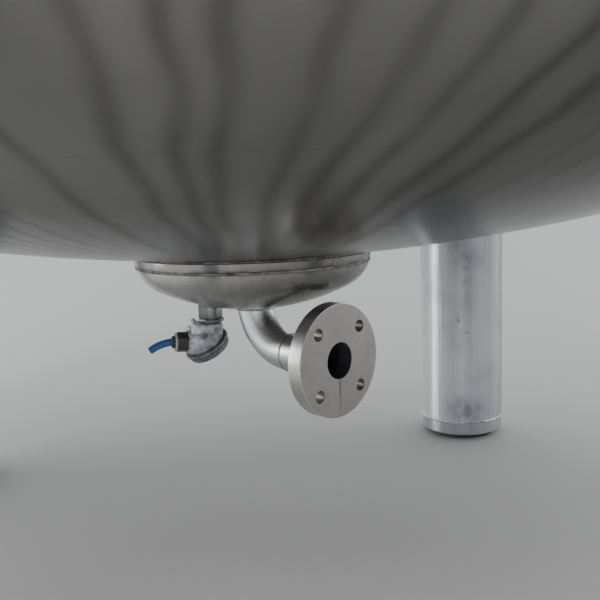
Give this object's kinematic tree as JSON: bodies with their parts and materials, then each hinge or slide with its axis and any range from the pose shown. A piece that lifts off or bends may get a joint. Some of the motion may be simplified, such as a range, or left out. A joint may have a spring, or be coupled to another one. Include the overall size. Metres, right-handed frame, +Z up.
{
  "type": "vertical storage tank",
  "caption": "Upright stainless steel storage tank with dished ends, round manway, bottom sump with flanged outlet bend and temperature probe, on four tube legs.",
  "frame": {"origin": "on the ground, under the tank's axis", "axes": "+Z up along the tank's axis, -Y the way the bottom outlet flange faces"},
  "size_m": [1.4, 1.4, 3.1545],
  "materials": {
    "polished_steel": "satin polished, water marked",
    "shell_steel": "satin brushed",
    "leg_steel": "brushed along its length",
    "pipe_steel": "satin",
    "flange_steel": "matt turned",
    "fitting_steel": "satin",
    "cast_aluminium": "cast, painted grey",
    "black_plastic": "moulded",
    "blue_cable": "smooth jacket",
    "dark_rubber": "matt"
  },
  "bodies": {
    "root": {"bottom_head": "polished_steel", "shell_lower": "shell_steel", "shell_upper": "shell_steel", "top_head": "shell_steel", "sump": "polished_steel", "outlet_bend": "pipe_steel", "outlet_flange": "flange_steel", "probe_neck": "pipe_steel", "probe_head": "cast_aluminium", "probe_cap": "cast_aluminium", "cable_gland": "black_plastic", "probe_cable": "blue_cable", "leg_pad_1": "leg_steel", "leg_tube_1": "leg_steel", "leg_cap_1": "leg_steel", "foot_pad_1": "dark_rubber", "leg_pad_2": "leg_steel", "leg_tube_2": "leg_steel", "leg_cap_2": "leg_steel", "foot_pad_2": "dark_rubber", "leg_pad_3": "leg_steel", "leg_tube_3": "leg_steel", "leg_cap_3": "leg_steel", "foot_pad_3": "dark_rubber", "leg_pad_4": "leg_steel", "leg_tube_4": "leg_steel", "leg_cap_4": "leg_steel", "foot_pad_4": "dark_rubber", "manway_neck": "fitting_steel", "manway_gasket": "dark_rubber", "manway_cover": "fitting_steel", "bolt_fork_1": "fitting_steel", "swing_bolt_1": "fitting_steel", "bolt_fork_2": "fitting_steel", "swing_bolt_2": "fitting_steel", "bolt_fork_3": "fitting_steel", "swing_bolt_3": "fitting_steel", "manway_hinge": "fitting_steel", "vent_pipe": "pipe_steel", "inlet_pipe": "pipe_steel", "inlet_flange": "flange_steel", "lifting_lug_1": "fitting_steel", "lifting_lug_2": "fitting_steel", "plate_bracket": "fitting_steel", "name_plate": "fitting_steel"}
  },
  "joints": []
}
